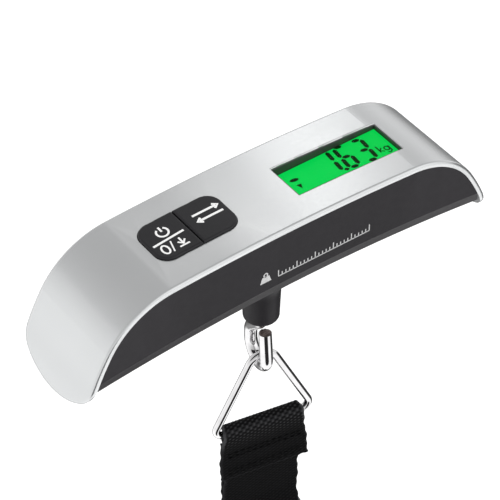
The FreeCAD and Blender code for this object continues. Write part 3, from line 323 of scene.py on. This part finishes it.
def assign_materials():
    """Give every CAD node its finished material, one per slot of the record."""
    by_slot = {
        "silver_paint": silver_paint(),
        "black_plastic": textured_plastic("black_plastic", (0.0118, 0.0104, 0.0128), 0.48, gloss=0.17),
        "key_plastic": textured_plastic("key_plastic", (0.017, 0.0165, 0.019), 0.38, grain=3400),
        "bezel_plastic": textured_plastic("bezel_plastic", (0.05, 0.046, 0.05), 0.3, grain=4000),
        "clear_window": clear_acrylic(),
        "lcd_glass": lit_display(),
        "light_guide": textured_plastic("light_guide", (0.05, 0.7, 0.15), 0.3),
        "chrome_wire": polished_chrome(),
        "beam_aluminium": machined_metal("beam_aluminium", (0.78, 0.78, 0.8), 0.32),
        "zinc_screws": machined_metal("zinc_steel", (0.6, 0.6, 0.62), 0.3),
        "board_laminate": textured_plastic("board_laminate", (0.01, 0.11, 0.04), 0.35),
        "black_component": textured_plastic("component_black", (0.02, 0.02, 0.02), 0.5),
        "strip_rubber": textured_plastic("strip_rubber", (0.4, 0.4, 0.4), 0.6),
        "gauge_film": textured_plastic("gauge_film", (0.5, 0.22, 0.04), 0.3),
        "wire_insulation": textured_plastic("wire_insulation", (0.45, 0.02, 0.02), 0.45),
        "contact_brass": machined_metal("contact_brass", (0.76, 0.6, 0.32), 0.28),
        "cell_steel": machined_metal("cell_steel", (0.7, 0.7, 0.7), 0.25),
        "webbing_black": woven_polyester(),
        "buckle_plastic": textured_plastic("buckle_plastic", (0.018, 0.018, 0.019), 0.42, sheen=0.05),
    }
    for part in frame["record"]["subparts"]:
        for slot in frame["nodes"][part["node"]].material_slots:
            slot.material = by_slot[part["material_slot"]]
    return by_slot


MATERIALS = assign_materials()
# The key print's glow of 0.28 is painted light; the panel print has none.
KEY_INK = print_ink("key_ink", (0.84, 0.84, 0.83), (0.95, 0.95, 0.94), glow=0.28)
PANEL_INK = print_ink("panel_ink", (0.50, 0.50, 0.50), (0.64, 0.64, 0.64), glow=0.0)
SEGMENT_INK = segment_ink()


# Meshes and flat shapes. A shape is its outline's points and the faces on them.

def mesh_piece(name, points, faces, material, body, smooth=True):
    """New mesh object that rides on a body."""
    mesh = bpy.data.meshes.new(name)
    mesh.from_pydata([tuple(p) for p in points], [], faces)
    mesh.materials.append(material)
    mesh.polygons.foreach_set("use_smooth", [smooth] * len(mesh.polygons))
    mesh.update()
    piece = bpy.data.objects.new(name, mesh)
    bpy.context.scene.collection.objects.link(piece)
    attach(piece, body)
    return piece


def surface_tree(node):
    """The surface of a CAD node, to find points on it."""
    source = frame["nodes"][node]
    points = [source.matrix_world @ v.co for v in source.data.vertices]
    return BVHTree.FromPolygons(points, [p.vertices for p in source.data.polygons])


def stroke(points, width, closed=False):
    """Shape of a pen stroke through points."""
    count = len(points)
    outline = []
    for i, point in enumerate(points):
        before = points[i - 1] if i or closed else point
        after = points[(i + 1) % count] if i < count - 1 or closed else point
        along = (Vector(after) - Vector(before)).normalized()
        side = Vector((-along.y, along.x)) * width / 2
        outline += [Vector(point) + side, Vector(point) - side]
    quads = [(2 * i, 2 * i + 1, (2 * i + 3) % (2 * count), (2 * i + 2) % (2 * count))
             for i in range(count if closed else count - 1)]
    return outline, quads


def filled(outline):
    """Shape with one face inside its outline."""
    return outline, [tuple(range(len(outline)))]


def arc(x, y, radius_x, radius_y, start, end, steps=24):
    """Points of an elliptical arc, angles in degrees from +x."""
    angles = [math.radians(start + (end - start) * i / steps) for i in range(steps + 1)]
    return [(x + radius_x * math.cos(a), y + radius_y * math.sin(a)) for a in angles]


def border(faces):
    """Edges that only one of the faces has, in the direction that face has them."""
    edges = {edge for face in faces for edge in zip(face, face[1:] + face[:1])}
    return sorted(edge for edge in edges if edge[::-1] not in edges)


def printed(name, shapes, to_world, material, body, thickness):
    """Thin raised print: flat shapes laid down by to_world(x, y, height)."""
    points, faces = [], []
    for outline, tops in shapes:
        start = len(points)
        foot = start + len(outline)
        points += [to_world(x, y, thickness) for x, y in outline]
        points += [to_world(x, y, 0) for x, y in outline]
        faces += [tuple(start + i for i in top) for top in tops]
        faces += [(start + b, start + a, foot + a, foot + b) for a, b in border(tops)]
    mesh_piece(name, points, faces, material, body, smooth=False)


# Printed marks on the keys: a power sign over a zero sign, and a swap sign.

def power_sign(x, y, size):
    pen = size * 0.34
    ring = arc(x, y, size, size, 125, 415)
    bar = [(x, y + size * 0.15), (x, y + size * 1.3)]
    return [stroke(ring, pen), stroke(bar, pen)]


def zero_sign(x, y, size):
    """Zero, slash and an arrow down to a line: set the reading to zero with something on the hook."""
    pen = size * 0.26
    zero = arc(x - size * 1.25, y, size * 0.48, size * 0.8, 0, 345)
    slash = [(x - size * 0.45, y - size * 0.95), (x + size * 0.1, y + size * 0.95)]
    line = [(x + size * 0.55, y - size * 0.72), (x + size * 2.05, y - size * 0.72)]
    shaft = [(x + size * 1.3, y - size * 0.5), (x + size * 1.3, y + size * 0.85)]
    head = [(x + size * 0.75, y + size * 0.2), (x + size * 1.3, y - size * 0.42),
            (x + size * 1.85, y + size * 0.2)]
    return [stroke(zero, pen, closed=True), stroke(slash, size * 0.2), stroke(line, pen), stroke(shaft, pen),
            stroke(head, pen)]


def swap_sign(x, y, length, height, pen):
    """Two opposite arrows, one above the other."""
    shapes = []
    for side in (-1, 1):
        level = y + side * height / 2
        tip = x + side * length / 2
        barb = tip - side * height * 0.55
        shaft = [(x - side * length / 2, level), (tip - side * pen, level)]
        head = [(barb, level + height * 0.36), (tip, level), (barb, level - height * 0.36)]
        shapes += [stroke(shaft, pen), stroke(head, pen)]
    return shapes


def middle_of(node):
    """Middle of a node along X."""
    low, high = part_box(node)
    return (low[0] + high[0]) / 2


def print_on_key(name, shapes, key):
    """Print on the top of a key, whose node and body have the same name."""
    tree = surface_tree(key)

    def lay(x, y, above):
        over_key = Vector((x, y, 0.1))
        hit, normal, _, _ = tree.ray_cast(over_key, -UP)
        return hit + normal * above

    printed(name, shapes, lay, KEY_INK, key, thickness=0.04 * MM)


def key_prints():
    x = middle_of("key_power_zero")
    divider = [(x - 5.0 * MM, -1.2 * MM), (x + 5.4 * MM, -0.6 * MM)]
    shapes = power_sign(x + 0.3 * MM, 2.2 * MM, size=1.75 * MM)
    shapes.append(stroke(divider, 0.7 * MM))
    shapes += zero_sign(x - 0.2 * MM, -4.0 * MM, size=2.1 * MM)
    print_on_key("power_zero_marks", shapes, "key_power_zero")
    x = middle_of("key_unit")
    shapes = swap_sign(x + 0.2 * MM, 0.9 * MM, length=8.6 * MM, height=2.7 * MM, pen=0.75 * MM)
    print_on_key("unit_marks", shapes, "key_unit")


# Display: seven-segment digits, their unit and a zero mark on the glass.

READING = (("1", 14.9 * MM), ("6", 20.4 * MM), ("3", 26.3 * MM))
LIT_SEGMENTS = {"1": "bc", "6": "acdefg", "3": "abcdg"}
SEGMENT_ENDS = {"a": ("nw", "ne"), "b": ("e", "ne"), "c": ("se", "e"), "d": ("sw", "se"),
                "e": ("sw", "w"), "f": ("w", "nw"), "g": ("w", "e")}
CORNERS = {"sw": (0, 0), "se": (1, 0), "w": (0, 0.5), "e": (1, 0.5), "nw": (0, 1), "ne": (1, 1)}


def segment(start, end, width):
    """Shape of one segment, with pointed ends."""
    a, b = Vector(start), Vector(end)
    along = (b - a).normalized()
    side = Vector((-along.y, along.x)) * width / 2
    tip = along * width / 2
    outline = [a, a + tip + side, b - tip + side, b, b - tip - side, a + tip - side]
    return outline, [(5, 4, 3, 2, 1, 0)]


def digit(figure, x, y, width, height, pen, lean=0.1):
    """Seven-segment figure whose lower left corner is at x, y."""
    gap = pen * 0.18
    corners = {name: Vector((u * width, v * height)) for name, (u, v) in CORNERS.items()}
    shapes = []
    for name in LIT_SEGMENTS[figure]:
        a, b = (corners[end] for end in SEGMENT_ENDS[name])
        inward = (b - a).normalized() * gap
        ends = [(x + p.x + p.y * lean, y + p.y) for p in (a + inward, b - inward)]
        shapes.append(segment(*ends, pen))
    return shapes


def kilogram(x, y, size, pen):
    """The unit's two letters, from their lower left corner."""
    k_stem = [(x, y), (x, y + size * 1.25)]
    k_arms = [(x + size * 0.45, y + size * 0.75), (x + size * 0.05, y + size * 0.35), (x + size * 0.5, y)]
    g = x + size
    g_bowl = arc(g, y + size * 0.38, size * 0.3, size * 0.36, 20, 380, steps=16)
    g_tail = [(g + size * 0.36, y + size * 0.75), (g + size * 0.34, y - size * 0.2),
              (g + size * 0.05, y - size * 0.42), (g - size * 0.25, y - size * 0.3)]
    return [stroke(points, pen) for points in (k_stem, k_arms, g_bowl, g_tail)]


def display_marks():
    """The reading with its point and unit, and an oval over a triangle as the zero mark."""
    left, front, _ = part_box("display_window")[0]
    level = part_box("lcd_panel")[1][2]
    slope = 0.12

    def lay(x, y, above):
        return Vector((left + x, front + y - slope * x, level + above))

    pen, base = 1.3 * MM, 5.6 * MM
    shapes = []
    for figure, x in READING:
        shapes += digit(figure, x, base, width=3.1 * MM, height=9.5 * MM, pen=pen)
    shapes.append(segment((18.45 * MM, base), (20.15 * MM, base), pen))
    shapes += kilogram(31.7 * MM, 7.0 * MM, size=2.4 * MM, pen=0.42 * MM)
    shapes.append(filled(arc(4.35 * MM, 8.8 * MM, 1.4 * MM, 0.68 * MM, 0, 345)))
    shapes.append(filled([(3.5 * MM, 6.6 * MM), (4.3 * MM, 4.6 * MM), (5.1 * MM, 6.6 * MM)]))
    printed("display_segments", shapes, lay, SEGMENT_INK, "handle", thickness=0.012 * MM)


# Mark on the front panel: a weight sign and a row of graduations, with no lettering.

def weight_sign(x):
    """A weight with a ring on top, standing on the base line."""
    foot, top, height = 1.9 * MM, 1.2 * MM, 2.2 * MM
    ring = arc(x, 2.75 * MM, 0.62 * MM, 0.62 * MM, 0, 345)
    return [filled([(x - foot, 0), (x + foot, 0), (x + top, height), (x - top, height)]),
            stroke(ring, 0.4 * MM, closed=True)]


def graduation_mark():
    """Small weight sign and a scale of ticks, every fifth one longer, on a base line."""
    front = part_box("lower_housing")[0][1]
    left, level = -6.2 * MM, 12.4 * MM
    pitch, ticks, pen = 1.28 * MM, 26, 0.32 * MM
    long_tick, short_tick = 2.3 * MM, 1.25 * MM

    def lay(x, y, above):
        return Vector((left + x, front - above, level + y))

    shapes = [stroke([(0, 0), (pitch * (ticks - 1), 0)], pen)]
    for i in range(ticks):
        height = long_tick if i % 5 == 0 else short_tick
        shapes.append(stroke([(i * pitch, 0), (i * pitch, height)], pen))
    shapes += weight_sign(-4.4 * MM)
    printed("graduation_mark", shapes, lay, PANEL_INK, "handle", thickness=0.03 * MM)


key_prints()
display_marks()
graduation_mark()


# Webbing: a closed band of woven relief along a smooth route of (backward, up) points.

WIDTH = 25.4 * MM
THICKNESS = 1.25 * MM
RELIEF = 0.26 * MM
RIM = 0.62              # share of the thickness that is left at the band's two edges
SELVAGE = 0.75          # height of the selvages, as a share of the relief
SELVAGE_COLUMNS = 2
STEP = 0.32 * MM        # from one row of points to the next, along the band
COLUMNS = 66            # steps across the band
YARN_COLUMNS = 3        # a raised yarn is as many columns wide
YARN_ROWS = 4           # and as many rows long
SEWN = 19 * MM          # from the ring's bar down to the end of the sewn tail
SEAM = BAR.z - SEWN


def smooth_line(route):
    """Points along the NURBS curve that a route controls."""
    curve = bpy.data.curves.new("route", "CURVE")
    curve.dimensions = "3D"
    curve.resolution_u = 24
    spline = curve.splines.new("NURBS")
    spline.points.add(len(route) - 1)
    for target, (q, z) in zip(spline.points, route):
        target.co = (0, q, z, 1)
    spline.order_u = 3
    spline.use_endpoint_u = True
    holder = bpy.data.objects.new("route", curve)
    bpy.context.scene.collection.objects.link(holder)
    bpy.context.view_layer.update()
    line = [v.co.copy() for v in bpy.data.meshes.new_from_object(holder).vertices]
    bpy.data.objects.remove(holder)
    return line


def resampled(line):
    """Points spread evenly along a line, about a step apart, and the line's length."""
    lengths = [0]
    for a, b in zip(line, line[1:]):
        lengths.append(lengths[-1] + (b - a).length)
    count = round(lengths[-1] / STEP)
    result, run = [], 0
    for i in range(count + 1):
        wanted = lengths[-1] * i / count
        while run < len(line) - 2 and lengths[run + 1] < wanted:
            run += 1
        share = (wanted - lengths[run]) / max(lengths[run + 1] - lengths[run], 1e-9)
        result.append(line[run].lerp(line[run + 1], min(share, 1)))
    return result, lengths[-1]


def weave_height(column, row):
    """Relief of the weave, 0 to 1: short raised yarns, each column of them out of step with the next."""
    shifted = (column // YARN_COLUMNS) % 2
    rib = abs(math.sin(math.pi * (row / YARN_ROWS + shifted * 0.5)))
    yarn = math.sin(math.pi * ((column % YARN_COLUMNS) + 0.5) / YARN_COLUMNS)
    return rib * (0.35 + 0.65 * yarn)


def edge_wobble(s, across):
    """Small wander of the two edges, each with its own slack picks; across runs from 0 to 1."""
    phase = 0 if across < 0.5 else 2.4
    fine = 0.14 * MM * math.sin(s / (0.7 * MM) + phase)
    slow = 0.2 * MM * math.sin(s / (1.9 * MM) + 1 + phase)
    return (fine + slow) * abs(2 * across - 1) ** 6


def cross_section(middle, normal, row, more_left, more_right):
    """Ring of points round the band at one row: the outer face, and the inner one two columns out of step."""
    left = SIDE - WIDTH / 2 - more_left
    wide = WIDTH + more_left + more_right
    ring = []
    for face, shift in ((1, 0), (-1, 2)):
        for c in range(COLUMNS + 1):
            column = c if face > 0 else COLUMNS - c
            across = column / COLUMNS
            from_edge = min(column, COLUMNS - column)
            half = THICKNESS / 2 * (RIM if from_edge == 0 else 1.0)
            height = SELVAGE if from_edge < SELVAGE_COLUMNS else weave_height(column + shift, row)
            u = left + across * wide + edge_wobble(row * STEP, across)
            out = half - RELIEF + RELIEF * height
            ring.append(HANG @ (middle + Vector((u, 0, 0)) + normal * face * out))
    return ring


def webbing(name, route, flare=lambda s: (0.0, 0.0)):
    """Band of webbing along a route, and its length; flare(s) widens it left and right."""
    line, length = resampled(smooth_line(route))
    last = len(line) - 1
    points, faces = [], []
    for row, middle in enumerate(line):
        along = (line[min(row + 1, last)] - line[max(row - 1, 0)]).normalized()
        normal = Vector((0, -along.z, along.y))
        points += cross_section(middle, normal, row, *flare(row * STEP))
    around = 2 * (COLUMNS + 1)
    for row in range(last):
        for c in range(around):
            a, b = row * around + c, row * around + (c + 1) % around
            faces.append((a, b, b + around, a + around))
    faces.append(tuple(reversed(range(around))))
    faces.append(tuple(last * around + c for c in range(around)))
    piece = mesh_piece(name, points, faces, MATERIALS["webbing_black"], "strap")
    return piece, length


def strap_route():
    """From the tail's end over the ring's bar, down behind it, round the loop and into the plug."""
    bottom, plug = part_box("strap_webbing")[0][2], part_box("buckle_plug")[0][2]
    fold = 2.05 * MM
    shoulder, above = fold * 1.05, BAR.z + fold * 0.95
    beside, pinched = BAR.z - 1.5 * MM, BAR.z - 9 * MM
    over_bar = [(-0.9 * MM, SEAM), (-1.0 * MM, pinched), (-fold, beside), (-shoulder, above),
                (0, BAR.z + fold * 1.12), (shoulder, above), (fold, beside), (0.9 * MM, pinched),
                (0.7 * MM, SEAM)]
    side, turn, under = 13.5 * MM, bottom + 12 * MM, bottom + 0.4 * MM
    down = [(1.4 * MM, SEAM - 10 * MM), (1.4 * MM, SEAM - 20 * MM), (-side, SEAM - 81 * MM)]
    loop = [(-side, turn), (-side * 0.7, under), (side * 0.7, under), (side + 1 * MM, turn)]
    into_plug = [(side + 1 * MM, plug - 26 * MM), (BUCKLE + 1 * MM, plug - 9 * MM), (BUCKLE, plug + 0.6 * MM)]
    return over_bar + down + loop + into_plug


def clamped(share):
    return min(max(share, 0), 1)


def tail_flare(s):
    """How far the sewn tail stands out left and right; it clears the ring's legs near the bar."""
    over_bar = SEWN + 2 * MM
    left = (1.0 + 0.9 * clamped((SEWN - s) / (4 * MM))) * MM
    return left * clamped(1 - (s - over_bar) / (6 * MM)), 2.6 * MM * clamped(1 - s / over_bar)


def strap():
    """The long strap, sewn over the ring's bar and closed by the buckle."""
    piece, length = webbing("woven_strap", strap_route(), tail_flare)
    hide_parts("strap_webbing")


def tab():
    """Short strap sewn behind the seam that carries the buckle's socket."""
    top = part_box("buckle_socket")[1][2]
    route = [(3.6 * MM, BAR.z - 8 * MM), (2.2 * MM, BAR.z - 15 * MM), (2.1 * MM, BAR.z - 20 * MM),
             (2.9 * MM, BAR.z - 37 * MM), (BUCKLE, top + 3 * MM), (BUCKLE, top - 0.3 * MM)]
    piece, length = webbing("woven_tab", route)
    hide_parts("buckle_tab")


def stitches():
    """Rows of short rounded stitches across the front of the sewn tail."""
    points, faces = [], []
    pitch, thread, front = 2.1 * MM, 0.2 * MM, -1.9 * MM
    left, right = SIDE - 12.4 * MM, SIDE + 11.6 * MM
    for depth in (7.5 * MM, 9.2 * MM, 15.0 * MM, 16.7 * MM):
        x = left
        while x < right:
            level = BAR.z - depth + random.uniform(-0.12, 0.12) * MM
            add_stitch(points, faces, x, front, level, pitch * 0.8, thread)
            x += pitch
    mesh_piece("seam_thread", points, faces, MATERIALS["webbing_black"], "strap")


def add_stitch(points, faces, x, q, z, length, thread):
    """One stitch: a bent capsule lying across the webbing."""
    rings, sides = 7, 8
    start = len(points)
    for i in range(rings):
        along = i / (rings - 1)
        radius = thread * math.sqrt(max(1 - (2 * along - 1) ** 4, 0.04))
        for k in range(sides):
            a = 2 * math.pi * k / sides
            out = radius * (0.75 * math.cos(a) - 0.25)
            points.append(HANG @ Vector((x + along * length, q + out, z + radius * math.sin(a))))
    for i in range(rings - 1):
        for k in range(sides):
            a, b = start + i * sides + k, start + i * sides + (k + 1) % sides
            faces.append((a, a + sides, b + sides, b))
    faces.append(tuple(start + k for k in range(sides)))
    faces.append(tuple(reversed([start + (rings - 1) * sides + k for k in range(sides)])))


def hook_end():
    """Cut face at the hook's tip: a slightly domed disc just above the rod's flat end."""
    sides, radius, rim, dome = 32, 1.86 * MM, 0.02 * MM, 0.12 * MM
    over_tip = HANG @ Vector((0, -2.9 * MM, -20 * MM))
    hit, normal, _, _ = surface_tree("hook").ray_cast(over_tip, -UP)
    turn = normal.to_track_quat("Z", "Y").to_matrix()
    points = [hit + normal * dome]
    for i in range(sides):
        a = 2 * math.pi * i / sides
        points.append(hit + turn @ Vector((radius * math.cos(a), radius * math.sin(a), rim)))
    faces = [(0, 1 + i, 1 + (i + 1) % sides) for i in range(sides)]
    mesh_piece("hook_cut_face", points, faces, cut_steel(), "hook")


strap()
tab()
stitches()
hook_end()


# Floor, world, lights and camera.

WORLD_STRENGTH = 1.35
SKY_TONES = ((0.25, 1.0), (0.37, 0.88), (0.5, 0.80), (0.72, 0.57), (0.9, 0.43))

# Soft round patches of the world, for the chrome to reflect: direction, the cosines at the edge and where
# the patch is full, and its strength against the rest. Three are dark and the last one is bright.
PATCHES = (((-0.35, -0.79, -0.50), 0.88, 0.93, 0.02),
           ((0.88, -0.15, -0.45), 0.86, 0.92, 0.03),
           ((0.34, 0.72, -0.60), 0.62, 0.93, 0.10),
           ((0.43, -0.75, 0.50), 0.80, 0.95, 1.7))


def floor():
    """White floor a little below the object."""
    half, drop = 3.0, 0.03
    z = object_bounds()[0][2] - drop
    corners = [(-half, -half, z), (half, -half, z), (half, half, z), (-half, half, z)]
    mesh = bpy.data.meshes.new("floor")
    mesh.from_pydata(corners, [], [(0, 1, 2, 3)])
    mesh.materials.append(floor_white())
    ground = bpy.data.objects.new("floor", mesh)
    ground.visible_glossy = False
    bpy.context.scene.collection.objects.link(ground)
    ground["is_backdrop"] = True


def surroundings():
    """World: white below and grey above, with the patches."""
    world = bpy.data.worlds.new("studio")
    world.use_nodes = True
    n = Nodes(world.node_tree)
    direction = n.add("TexCoord").outputs["Generated"]
    strength = n.times(sky(n, direction), WORLD_STRENGTH)
    for spot in PATCHES:
        strength = n.times(strength, patch(n, direction, *spot))
    background = n.tree.nodes["Background"]
    n.set(background, "Color", (1, 1, 1, 1))
    n.set(background, "Strength", plain_backdrop(n, strength))
    bpy.context.scene.world = world


def sky(n, direction):
    """Tone of the world by height, from straight down to straight up."""
    height = n.add("SeparateXYZ", Vector=direction).outputs["Z"]
    level = n.add("MapRange", Value=height, From_Min=-1.0).outputs["Result"]
    node = n.add("ValToRGB", Fac=level)
    elements = node.color_ramp.elements
    while len(elements) < len(SKY_TONES):
        elements.new(0.5)
    for element, (position, tone) in zip(elements, SKY_TONES):
        element.position = position
        element.color = (tone, tone, tone, 1)
    return node.outputs["Color"]


def patch(n, direction, centre, edge, full, against):
    """Factor that goes from 1 to against, from the edge of a patch inwards."""
    cosine = n.add("VectorMath")
    cosine.operation = "DOT_PRODUCT"
    n.set(cosine, 0, direction)
    n.set(cosine, 1, centre)
    fade = n.add("MapRange", Value=cosine.outputs["Value"], From_Min=edge, From_Max=full, To_Min=1.0,
                 To_Max=against)
    fade.interpolation_type = "SMOOTHSTEP"
    return fade.outputs["Result"]


def plain_backdrop(n, strength):
    """Strength of the world, which shows beyond the floor's edge as plain white and not as its tones."""
    seen = n.add("LightPath").outputs["Is Camera Ray"]
    backdrop = n.add("Mix", Factor=seen, A=strength, B=1.0)
    return backdrop.outputs["Result"]


def softbox(name, direction, distance, width, height, power):
    """Rectangular light that faces the object from a direction."""
    light = bpy.data.lights.new(name, "AREA")
    light.shape = "RECTANGLE"
    light.size = width
    light.size_y = height
    light.energy = power
    lamp = bpy.data.objects.new(name, light)
    away = Vector(direction).normalized()
    lamp.location = away * distance
    lamp.rotation_euler = away.to_track_quat("Z", "Y").to_euler()
    bpy.context.scene.collection.objects.link(lamp)


def camera():
    """Long lens from the front left and above."""
    azimuth, elevation = math.radians(-36.1), math.radians(42.84)
    distance = 0.7036
    target = Vector((-4.01, 0, 8.79)) * MM
    level = math.cos(elevation)
    back = Vector((math.sin(azimuth) * level, -math.cos(azimuth) * level, math.sin(elevation)))
    lens = bpy.data.cameras.new("camera")
    lens.lens = 178.9
    lens.sensor_width = 36
    lens.clip_start = 0.01
    shown = bpy.data.objects.new("camera", lens)
    shown.location = target + back * distance
    shown.rotation_euler = back.to_track_quat("Z", "Y").to_euler()
    bpy.context.scene.collection.objects.link(shown)
    bpy.context.scene.camera = shown


floor()
surroundings()
softbox("crown_light", (0.503, 0.587, 0.635), distance=1.2, width=0.14, height=0.46, power=0.30)
softbox("left_light", (-0.70, 0.62, 0.1), distance=1.2, width=0.8, height=0.8, power=0.35)
camera()
bpy.context.scene.view_settings.view_transform = "Standard"
